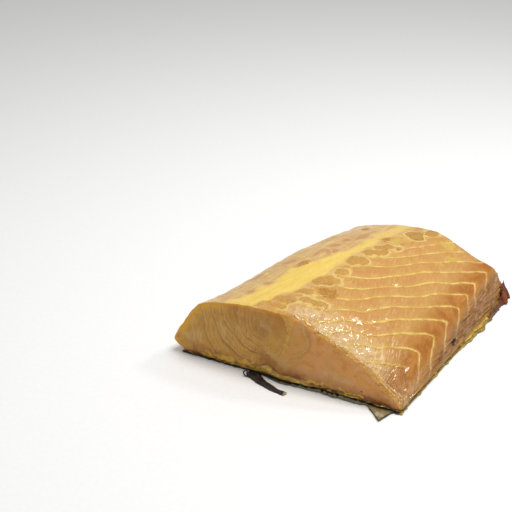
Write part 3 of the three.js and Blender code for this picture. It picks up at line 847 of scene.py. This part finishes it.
def smoked_muscle():
    # Hot-smoked fish muscle with fat between its bands: waxy, a little wet, and light goes some
    # way into it, so its hollows glow amber instead of turning grey.
    material, tree, shader = new_material(
        "hot_smoked_muscle", IOR=1.44, Specular_IOR_Level=0.2, Subsurface_Weight=0.12,
        Subsurface_Scale=0.004, Subsurface_Radius=(1.0, 0.5, 0.2), Coat_Roughness=0.08,
        Coat_IOR=1.5)
    field = read_fields(tree, (
        "septum", "septum_gap", "past_stripe_left", "past_stripe_right", "in_muscle_end",
        "in_pink_spot", "in_brown_spot", "in_clot", "in_fat_patch", "in_painted_sheen_band", "past_ridge",
        "across", "over_fat", "from_front"))
    cloud = mottle(tree, 19)
    patch = mottle(tree, 7, 3)
    fine = mottle(tree, 1.6, 3)
    grain = mottle(tree, 0.55, 2)
    crinkle = mottle(tree, 3.4, 2.5)
    thread = mottle(tree, 0.9, 2, (1, 9, 4), 8)  # single fibres, torn up at the front; their streaks are painted pale as highlights
    rim_glint_streak = mottle(tree, 0.9, 2, (14, 1, 10))  # streaks along the rim, painted pale as glints and raised a little
    fibre = mottle(tree, 1.0, 3, (1, 7, 3), 8)  # bundles of fibre, from septum to septum
    streak = mottle(tree, 1.7, 3, (1, 9, 2), -18)  # threads of fat along the spine
    crease = mottle(tree, 1.1, 2, (5, 1, 5))  # the rim was dragged along the cut
    striation = mottle(tree, 0.9, 4, (1.5, 9, 1), -8)  # the belly side was cut along the fish

    right = between(tree, field["across"], 0.41, 0.47)
    left = between(tree, field["across"], 0.42, 0.34)
    ridge = times(tree, between(tree, field["past_ridge"], -20, -6),
                  between(tree, field["past_ridge"], 4, -2))
    belly = between(tree, field["past_ridge"], -1, 4)
    off_belly = between(tree, field["past_ridge"], 7, 1)
    rim_zone = times(tree, between(tree, field["from_front"], 11, 4),
                     between(tree, field["from_front"], 1.0, 2.4), off_belly,
                     between(tree, field["across"], 0.48, 0.56))
    fibre_zone = times(tree, between(tree, field["from_front"], 42, 30), off_belly,
                       between(tree, field["across"], 0.78, 0.86))
    front = times(tree, between(tree, field["from_front"], 30, 8),
                  between(tree, field["across"], 0.44, 0.54), off_belly)
    rim = times(tree, between(tree, field["from_front"], 4.2, 2.2), off_belly)
    phase = add(tree, "ShaderNodeMath", {0: field["septum"]}, operation="FRACT")
    before_seam = between(tree, phase, 0.55, 0.97)
    behind_seam = between(tree, phase, 0.45, 0.06)
    seam_show = between(tree, fine, 0.28, 0.46)
    thin_seam = seam_line(tree, field["septum"], field["septum_gap"], 0.55, 1.0)
    wide_seam = seam_line(tree, field["septum"], field["septum_gap"], 1.3, 1.9)
    at_corner = times(tree, between(tree, field["across"], 0.9, 0.93),
                      between(tree, field["from_front"], 28, 22))
    off_corner = between(tree, at_corner, 1.3, 0.0)
    seam_fade = times(tree, between(tree, field["past_ridge"], 6, -3),
                      between(tree, field["from_front"], 2, 9), off_corner)
    stripe_left = torn_edge(tree, field["past_stripe_left"], streak, 3.5, 2.2)
    stripe_right = torn_edge(tree, field["past_stripe_right"], streak, 1.8, 1.0)
    stripe = times(tree, stripe_left, stripe_right)
    halo = times(tree, torn_edge(tree, field["past_stripe_left"], streak, 7.0, 7.0),
                 torn_edge(tree, field["past_stripe_right"], patch, 3.0, 4.0, 3.0))
    muscle_end = torn_edge(tree, field["in_muscle_end"], fine, 0.7, 0.5)
    end_rim = torn_edge(tree, field["in_muscle_end"], fine, 1.6, 0.9, 1.9)
    off_end = times(tree, right, between(tree, field["in_muscle_end"], 0.3, -0.5))
    pink = torn_edge(tree, field["in_pink_spot"], fine, 1.8, 1.6)
    brown = torn_edge(tree, field["in_brown_spot"], fine, 1.2, 1.0)
    fat_patch = torn_edge(tree, field["in_fat_patch"], patch, 2.0, 1.0)
    clot = torn_edge(tree, field["in_clot"], fine, 0.4, 0.25)
    far = between(tree, field["from_front"], 60, 150)

    ground = paint(tree, linear("#CB9852"), [
        (between(tree, cloud, 0.42, 0.62), 0.55, "#C88A50"),
        (between(tree, patch, 0.5, 0.7), 0.4, "#DDB070"),
        # Painted shade just in front of each septum, as if the raised septum shaded the band there;
        # just behind each septum the band is painted lighter.
        (before_seam, right, 0.4, "#C68A40"),
        (behind_seam, right, 0.4, "#DAB063"),
        (between(tree, fibre, 0.5, 0.66), 0.3, "#B97F42"),
        (between(tree, fibre, 0.47, 0.3), 0.3, "#E6BE82"),
        # Painted sheen on the wet flakes by the front cut.
        (front, 0.6, "#EBC48A"),
        (fibre_zone, between(tree, field["from_front"], 26, 14), 0.4, "#E0A950"),
        # Painted highlights: pale streaks along single fibres near the front right corner.
        (fibre_zone, between(tree, thread, 0.55, 0.62), 0.75, "#FBE2BC"),
        # Painted sheen, whiter in the crinkles of the wet flakes.
        (front, between(tree, crinkle, 0.4, 0.6), 0.55, "#F3D29C"),
        (ridge, 0.85, "#A45F12"),
        (ridge, between(tree, patch, 0.46, 0.6), 0.5, "#C8893A"),
        (ridge, between(tree, fibre, 0.54, 0.66), 0.35, "#D89A48"),
        (ridge, between(tree, patch, 0.45, 0.3), 0.35, "#96540F"),
        (left, 0.9, "#D4AF74"),
        (left, between(tree, streak, 0.48, 0.66), 0.6, "#E4C484"),
        (left, between(tree, streak, 0.5, 0.32), 0.5, "#C49362"),
        (halo, 0.75, "#DEBB74"),
        (belly, 0.9, "#906031"),
        (belly, between(tree, field["from_front"], 60, 10), 0.6, "#C98D48"),
        (belly, between(tree, patch, 0.5, 0.66), 0.4, "#AE7A46"),
        (belly, between(tree, striation, 0.52, 0.62), 0.6, "#6A3F1B"),
        (belly, between(tree, striation, 0.45, 0.33), 0.6, "#D49B58"),
        # Painted sheen: a pale band low on the belly side, towards the back.
        (torn_edge(tree, field["in_painted_sheen_band"], striation, 3.0, 2.0), 0.3, "#C39060"),
        (pink, 0.7, "#BC8556"),
        (end_rim, right, between(tree, patch, 0.3, 0.45), 0.8, "#EACB7E"),
        (fat_patch, 0.85, "#D3B250"),
        (muscle_end, 0.85, "#C8943F"),
        (muscle_end, far, 0.5, "#B3823A"),
        (muscle_end, between(tree, fine, 0.5, 0.6), 0.45, "#AD8143"),
        (wide_seam, off_end, seam_fade, 0.35, "#D69A3C"),
        (thin_seam, seam_show, off_end, seam_fade, 0.7, "#ECC05A"),
        (thin_seam, between(tree, patch, 0.42, 0.58), off_end, seam_fade, 0.7, "#FCDC7C"),
        (thin_seam, seam_show, belly, 0.2, "#D9A452"),
        (thin_seam, seam_show, left, 0.35, "#EDCB72"),
        (stripe, 0.97, "#ECCA66"),
        (stripe, between(tree, streak, 0.53, 0.66), 0.5, "#E6B444"),
        (stripe, between(tree, streak, 0.45, 0.34), 0.5, "#F4D878"),
        (stripe, far, 0.6, "#DDBB76"),
        (brown, 0.75, "#B67D26"),
        (brown, between(tree, fine, 0.5, 0.62), 0.5, "#96652A"),
        (rim, between(tree, field["across"], 0.36, 0.46), 0.7, "#DA9A36"),
        (rim, between(tree, crease, 0.5, 0.62), 0.5, "#E9BC62"),
        # Painted glints: pale streaks along the rim.
        (rim_zone, between(tree, rim_glint_streak, 0.57, 0.62), 0.75, "#FCE3A6"),
        (between(tree, grain, 0.56, 0.72), 0.2, "#F3DCA6"),
        (between(tree, grain, 0.44, 0.28), 0.25, "#8A5A2A"),
        (between(tree, field["over_fat"], 2.2, 0.2), 0.7, "#A98A33"),
        (clot, 0.97, "#241008"),
    ])
    tree.links.new(ground, shader.inputs["Base Color"])
    wet = paint(tree, grey(0.46), [
        (between(tree, patch, 0.42, 0.6), 0.6, "#8F8F8F"),
        (front, between(tree, patch, 0.4, 0.55), 0.8, "#606060"),
    ])
    tree.links.new(wet, shader.inputs["Roughness"])
    oil = paint(tree, grey(0.08), [
        (between(tree, patch, 0.45, 0.6), 0.3, "#A0A0A0"),
        (front, between(tree, patch, 0.35, 0.5), 1.0, "#FFFFFF"),
        (wide_seam, right, 0.8, "#FFFFFF"),
        (rim, 0.9, "#FFFFFF"),
    ])
    tree.links.new(oil, shader.inputs["Coat Weight"])
    raise_surface(tree, shader, [
        (fine, 0.3), (fibre, 0.3), (times(tree, thin_seam, right, fine), 0.9),
        (times(tree, front, crinkle), 1.1), (times(tree, front, fibre), 1.5),
        (times(tree, rim_zone, rim_glint_streak), 0.7),
        (times(tree, front, fine), 0.4), (times(tree, rim, crease), 0.9),
        (times(tree, belly, striation), 0.9), (patch, 0.6),
        (times(tree, left, streak), 0.5), (times(tree, muscle_end, fine), 0.4),
        (times(tree, end_rim, right), 0.25)])
    return material


def knife_cut_muscle():
    # The same muscle cut across with a knife: smooth and moist, browner than the smoked side, its
    # rim painted with an amber glow as if lit through, its seams paler than the rings between them.
    material, tree, shader = new_material(
        "knife_cut_muscle", IOR=1.42, Specular_IOR_Level=0.25, Subsurface_Weight=0.12,
        Subsurface_Scale=0.004, Subsurface_Radius=(1.0, 0.5, 0.2), Coat_Roughness=0.1,
        Coat_IOR=1.45)
    field = read_fields(tree, ("ring", "ring_gap", "ring_show", "ring_dark", "from_rim", "across",
                               "over_fat", "in_membrane_and_shade", "in_wall", "in_pale_spot", "in_speck",
                               "in_stain", "in_red_stain"))
    cloud = mottle(tree, 15)
    patch = mottle(tree, 5, 3)
    fine = mottle(tree, 1.3, 3)
    grain = mottle(tree, 0.55, 2)
    thread = mottle(tree, 0.9, 3, (1, 1, 8))
    belly_half = between(tree, field["across"], 0.46, 0.6)
    back_half = between(tree, field["across"], 0.5, 0.34)
    far_left = between(tree, field["across"], 0.3, 0.16)
    under_brow = times(tree, between(tree, field["across"], 0.2, 0.28),
                       between(tree, field["across"], 0.56, 0.48))
    low = between(tree, field["over_fat"], 15, 4)
    seam = seam_line(tree, field["ring"], field["ring_gap"], 0.3, 0.8)
    side = seam_line(tree, field["ring"], field["ring_gap"], 1.2, 3.6)
    phase = add(tree, "ShaderNodeMath", {0: field["ring"]}, operation="FRACT")
    outside_seam = between(tree, phase, 0.22, 0.05)
    third = add(tree, "ShaderNodeMath", {0: field["ring"], 1: 3.0}, operation="MULTIPLY")
    third_gap = add(tree, "ShaderNodeMath", {0: field["ring_gap"], 1: 1 / 3}, operation="MULTIPLY")
    thin_ring = seam_line(tree, third, third_gap, 0.2, 0.7)
    rim = between(tree, field["from_rim"], 2.6, 0.4)
    rim_glow = between(tree, field["from_rim"], 8, 1)
    rim_deep = between(tree, field["from_rim"], 18, 3)
    middle = between(tree, field["ring"], 1.4, 0.2)
    wall = torn_edge(tree, field["in_wall"], fine, 0.5, 0.9)
    stain = torn_edge(tree, field["in_stain"], fine, 0.6, 0.5)
    stain_core = torn_edge(tree, field["in_stain"], fine, 0.7, 0.5)
    pale = torn_edge(tree, field["in_pale_spot"], fine, 1.4, 1.6)

    ground = paint(tree, linear("#C49038"), [
        (between(tree, cloud, 0.4, 0.65), 0.5, "#B27F34"),
        (belly_half, 0.85, "#CA904A"),
        (between(tree, field["across"], 0.7, 0.88), 0.65, "#EDAE60"),
        (belly_half, between(tree, cloud, 0.4, 0.6), 0.5, "#D99B64"),
        (belly_half, rim_deep, 0.75, "#D58F3E"),
        (low, belly_half, 0.35, "#A97350"),
        (middle, 0.6, "#9C6A33"),
        (side, field["ring_show"], 0.3, "#A37238"),
        (between(tree, patch, 0.5, 0.72), 0.35, "#C9A062"),
        (between(tree, patch, 0.46, 0.3), 0.3, "#9E6B31"),
        (back_half, between(tree, thread, 0.52, 0.64), 0.4, "#CFA865"),
        (back_half, between(tree, thread, 0.46, 0.36), 0.4, "#9C6C2E"),
        (pale, 0.3, "#C9AE7E"),
        # Painted glow of light through the thin rim: golden at the far left, amber under the brow.
        (rim_glow, far_left, between(tree, patch, 0.3, 0.5), 0.95, "#DEA52B"),
        (rim_glow, under_brow, 0.6, "#C0812E"),
        (rim_deep, under_brow, between(tree, cloud, 0.42, 0.58), 0.6, "#AE6E24"),
        (thin_ring, back_half, 0.2, "#D2AC6A"),
        (outside_seam, field["ring_dark"], 0.6, "#85521F"),
        (outside_seam, field["ring_show"], 0.25, "#94622A"),
        (seam, field["ring_show"], between(tree, fine, 0.3, 0.55), 0.6, "#D9A95C"),
        (wall, 0.6, "#DFAA48"),
        (rim, between(tree, fine, 0.3, 0.5), 0.65, "#DB9A34"),
        (between(tree, grain, 0.56, 0.72), 0.2, "#DDBE8A"),
        (between(tree, grain, 0.44, 0.28), 0.25, "#7A4C20"),
        (between(tree, field["over_fat"], 9, 1), 0.4, "#96603A"),
        (torn_edge(tree, field["in_red_stain"], patch, 2.0, 2.5), 0.55, "#8E5224"),
        # A dark red membrane above the fat, with painted shade in the hollow under the flesh's
        # edge.
        (torn_edge(tree, field["in_membrane_and_shade"], fine, 0.9, 1.3), 0.65, "#6A2A08"),
        (stain, 0.9, "#D2A440"),
        (stain_core, between(tree, patch, 0.44, 0.34), 0.6, "#7A4E18"),
        (between(tree, field["in_speck"], -0.1, 0.2), 0.9, "#3A240E"),
    ])
    tree.links.new(ground, shader.inputs["Base Color"])
    wet = paint(tree, grey(0.42), [(between(tree, patch, 0.45, 0.6), 0.5, "#9A9A9A")])
    tree.links.new(wet, shader.inputs["Roughness"])
    oil = paint(tree, grey(0.1), [
        (rim_glow, belly_half, between(tree, patch, 0.4, 0.55), 1.0, "#FFFFFF")])
    tree.links.new(oil, shader.inputs["Coat Weight"])
    raise_surface(tree, shader, [
        (fine, 0.2), (patch, 0.4), (times(tree, back_half, thread), 0.25),
        (times(tree, rim_glow, belly_half, patch), 2.0),
        (times(tree, seam, field["ring_show"]), -0.15), (times(tree, wall, fine), 0.5)])
    return material


def yellow_fat():
    # Soft yellow fat under the muscle, with painted shade along its foot where it meets the skin:
    # waxy lumps of clear yellow with brown hollows.
    material, tree, shader = new_material(
        "yellow_fish_fat", IOR=1.45, Specular_IOR_Level=0.3, Roughness=0.4, Subsurface_Weight=0.15,
        Subsurface_Scale=0.003, Subsurface_Radius=(1.0, 0.6, 0.2), Coat_Weight=0.3,
        Coat_Roughness=0.12)
    field = read_fields(tree, ("up_fat", "clear_fat"))
    patch = mottle(tree, 4, 2)
    fine = mottle(tree, 1.5, 3)
    clear = torn_edge(tree, field["clear_fat"], fine, 0.25, 0.3, -0.3)
    low = between(tree, field["up_fat"], 0.5, 0.05)
    ground = paint(tree, linear("#6A471B"), [
        (between(tree, patch, 0.45, 0.62), 0.6, "#966E2A"),
        (between(tree, fine, 0.48, 0.36), 0.5, "#33200D"),
        (clear, 0.92, "#C2963A"),
        (clear, between(tree, patch, 0.5, 0.62), 0.6, "#E3C160"),
        (clear, between(tree, patch, 0.42, 0.3), 0.55, "#87631F"),
        # Painted shade along the foot of the fat, in the gap above the skin.
        (low, 0.7, "#2C1B0B"),
    ])
    tree.links.new(ground, shader.inputs["Base Color"])
    raise_surface(tree, shader, [(fine, 0.5), (patch, 0.6)])
    return material


def dark_skin():
    # Sturgeon skin: black-brown leather set with tiny bony grains, rough to the touch, grey where
    # its grains stand free at the hem, with its pale olive inner side on the loose flap and dull
    # red where it dried at the belly, with a painted highlight along the lip's edge and spikes.
    material, tree, shader = new_material("dark_sturgeon_skin", IOR=1.45, Specular_IOR_Level=0.3,
                                          Roughness=0.5, Coat_Weight=0.08, Coat_Roughness=0.3)
    field = read_fields(tree, ("flap", "beside", "up_skin", "hem", "at_back"))
    patch = mottle(tree, 6, 2)
    grain = mottle(tree, 0.9, 3)
    here = add(tree, "ShaderNodeTexCoord", output="Object")
    grit = add(tree, "ShaderNodeTexVoronoi", {"Vector": here, "Scale": 1 / (0.9 * MM)})
    flap = times(tree, field["flap"], between(tree, grain, 0.2, 0.42))
    belly_edge = between(tree, field["beside"], -1.5, -0.5)
    dried = times(tree, belly_edge, between(tree, field["at_back"], 119, 126))
    hem = times(tree, field["hem"], between(tree, field["up_skin"], 0.95, 0.7))
    ground = paint(tree, linear("#1D1710"), [
        (between(tree, patch, 0.45, 0.6), 0.6, "#3B3325"),
        (between(tree, grit, 0.35, 0.1), 0.35, "#6B5D40"),
        (hem, 0.85, "#7D7556"),
        (hem, between(tree, grit, 0.3, 0.12), 0.7, "#BDB593"),
        (hem, between(tree, grain, 0.46, 0.34), 0.8, "#292218"),
        (belly_edge, 0.88, "#A48A40"),
        (belly_edge, between(tree, patch, 0.48, 0.6), 0.7, "#CDB158"),
        (belly_edge, between(tree, grain, 0.46, 0.34), 0.7, "#4A3A18"),
        (dried, 0.95, "#703A22"),
        (dried, between(tree, grain, 0.5, 0.4), 0.5, "#4A2212"),
        (dried, between(tree, patch, 0.48, 0.36), 0.7, "#36150A"),
        # Painted highlight: lighter red along the lip's outer edge and its spikes.
        (dried, between(tree, field["beside"], 2.2, 4.0), 0.8, "#A9501F"),
        (dried, between(tree, grain, 0.52, 0.66), 0.4, "#96543A"),
        (flap, 0.9, "#A58E5E"),
        (flap, between(tree, patch, 0.5, 0.6), 0.5, "#857A50"),
        (flap, between(tree, patch, 0.46, 0.36), 0.6, "#C9C2A4"),
        (field["flap"], between(tree, grit, 0.3, 0.1), 0.6, "#D8CBA4"),
        (field["flap"], between(tree, grain, 0.46, 0.32), 0.7, "#4A3C20"),
        (field["flap"], between(tree, field["up_skin"], 0.98, 0.8), 0.8, "#2A2214"),
    ])
    tree.links.new(ground, shader.inputs["Base Color"])
    raise_surface(tree, shader, [(grit, -0.5), (grain, 0.5)])
    return material


def torn_skin():
    # The same skin torn into a strip and dried: black-brown with fine furrows along it, and pale
    # leather in the section at its end.
    material, tree, shader = new_material("dried_torn_skin", IOR=1.45, Roughness=0.5,
                                          Coat_Weight=0.15, Coat_Roughness=0.3)
    field = read_fields(tree, ("cut_end",))
    furrow = mottle(tree, 0.7, 3, (9, 1, 1), -18)
    grain = mottle(tree, 0.6, 2)
    ground = paint(tree, linear("#1A120D"), [
        (between(tree, furrow, 0.52, 0.64), 0.7, "#4C3B29"),
        (between(tree, furrow, 0.46, 0.36), 0.5, "#0C0806"),
        (between(tree, grain, 0.55, 0.7), 0.3, "#151009"),
        (field["cut_end"], 0.9, "#B5A37A"),
    ])
    tree.links.new(ground, shader.inputs["Base Color"])
    raise_surface(tree, shader, [(furrow, 0.4), (grain, 0.2)])
    return material


# ---- Floor, light and camera ----
CAMERA_PLACE = np.array([236.75, -389.75, 336.80])
CAMERA_AZIMUTH = 24.89  # degrees from +y towards -x
CAMERA_PITCH = 30.17
FOCAL_LENGTH = 59.1


def make_floor():
    deselect_everything()
    bpy.ops.mesh.primitive_plane_add(size=6, location=(0, 0, 0))
    floor = bpy.context.object
    floor.name = "floor"
    material, tree, shader = new_material("pale_paper_floor", Roughness=0.9)
    tooth = mottle(tree, 3, 2)
    ground = paint(tree, linear("#FBFBFA"), [(between(tree, tooth, 0.4, 0.6), 0.3, "#F6F6F5")])
    tree.links.new(ground, shader.inputs["Base Color"])
    floor.data.materials.append(material)


def add_light(name, place_mm, size_mm, watts, aim_mm=(94, 72, 20)):
    """A soft rectangular light that faces the fillet."""
    deselect_everything()
    here = (np.array(place_mm) - MIDDLE) * MM
    there = (np.array(aim_mm) - MIDDLE) * MM
    bpy.ops.object.light_add(type="AREA", location=here)
    light = bpy.context.object
    light.name = name
    light.data.shape = "RECTANGLE"
    light.data.size, light.data.size_y = (side * MM for side in size_mm)
    light.data.energy = watts
    light.rotation_euler = Vector(there - here).to_track_quat("-Z", "Y").to_euler()


def make_stage():
    make_floor()
    world = bpy.data.worlds.new("soft_room")
    bpy.context.scene.world = world
    world.use_nodes = True
    room = world.node_tree.nodes["Background"]
    room.inputs["Color"].default_value = (1, 1, 1, 1)
    room.inputs["Strength"].default_value = 0.44
    add_light("overhead", (240, 110, 900), (260, 480), 5.3)
    add_light("lamp", (520, 430, 715), (110, 110), 1.0)  # it glints in the wet rim and flakes
    bpy.context.scene.view_settings.view_transform = "Standard"


def make_camera():
    deselect_everything()
    turn = (math.radians(90 - CAMERA_PITCH), 0, math.radians(CAMERA_AZIMUTH))
    bpy.ops.object.camera_add(location=(CAMERA_PLACE - MIDDLE) * MM, rotation=turn)
    camera = bpy.context.object
    camera.data.lens = FOCAL_LENGTH
    camera.data.sensor_width = 36
    camera.data.clip_start = 0.01
    bpy.context.scene.camera = camera


# ---- The piece ----
def finish_piece(obj, node, smooth_angle):
    """Smooth shading, and what the piece stands for."""
    deselect_everything()
    obj.select_set(True)
    bpy.context.view_layer.objects.active = obj
    bpy.ops.object.shade_smooth_by_angle(angle=math.radians(smooth_angle))
    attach(obj, "root")
    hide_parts(node)


def faces_all_on(obj, chosen_vertices):
    """Which faces have all their corners among the chosen vertices."""
    return [all(chosen_vertices[v] for v in face.vertices) for face in obj.data.polygons]


make_stage()
make_camera()

flesh = make_flesh()
cut_values = np.empty(len(flesh.data.vertices), np.float32)
flesh.data.attributes["on_cut"].data.foreach_get("value", cut_values)
on_cut = faces_all_on(flesh, cut_values > 0.5)
assign_by_place(flesh, (smoked_muscle(), knife_cut_muscle()), on_cut)
finish_piece(flesh, "flesh", 60)

fat = make_fat()
fat.data.materials.append(yellow_fat())
finish_piece(fat, "fat_layer", 50)

skin = make_skin()
skin.data.materials.append(dark_skin())
finish_piece(skin, "skin", 50)

strip = make_strip()
strip.data.materials.append(torn_skin())
finish_piece(strip, "skin_strip", 60)
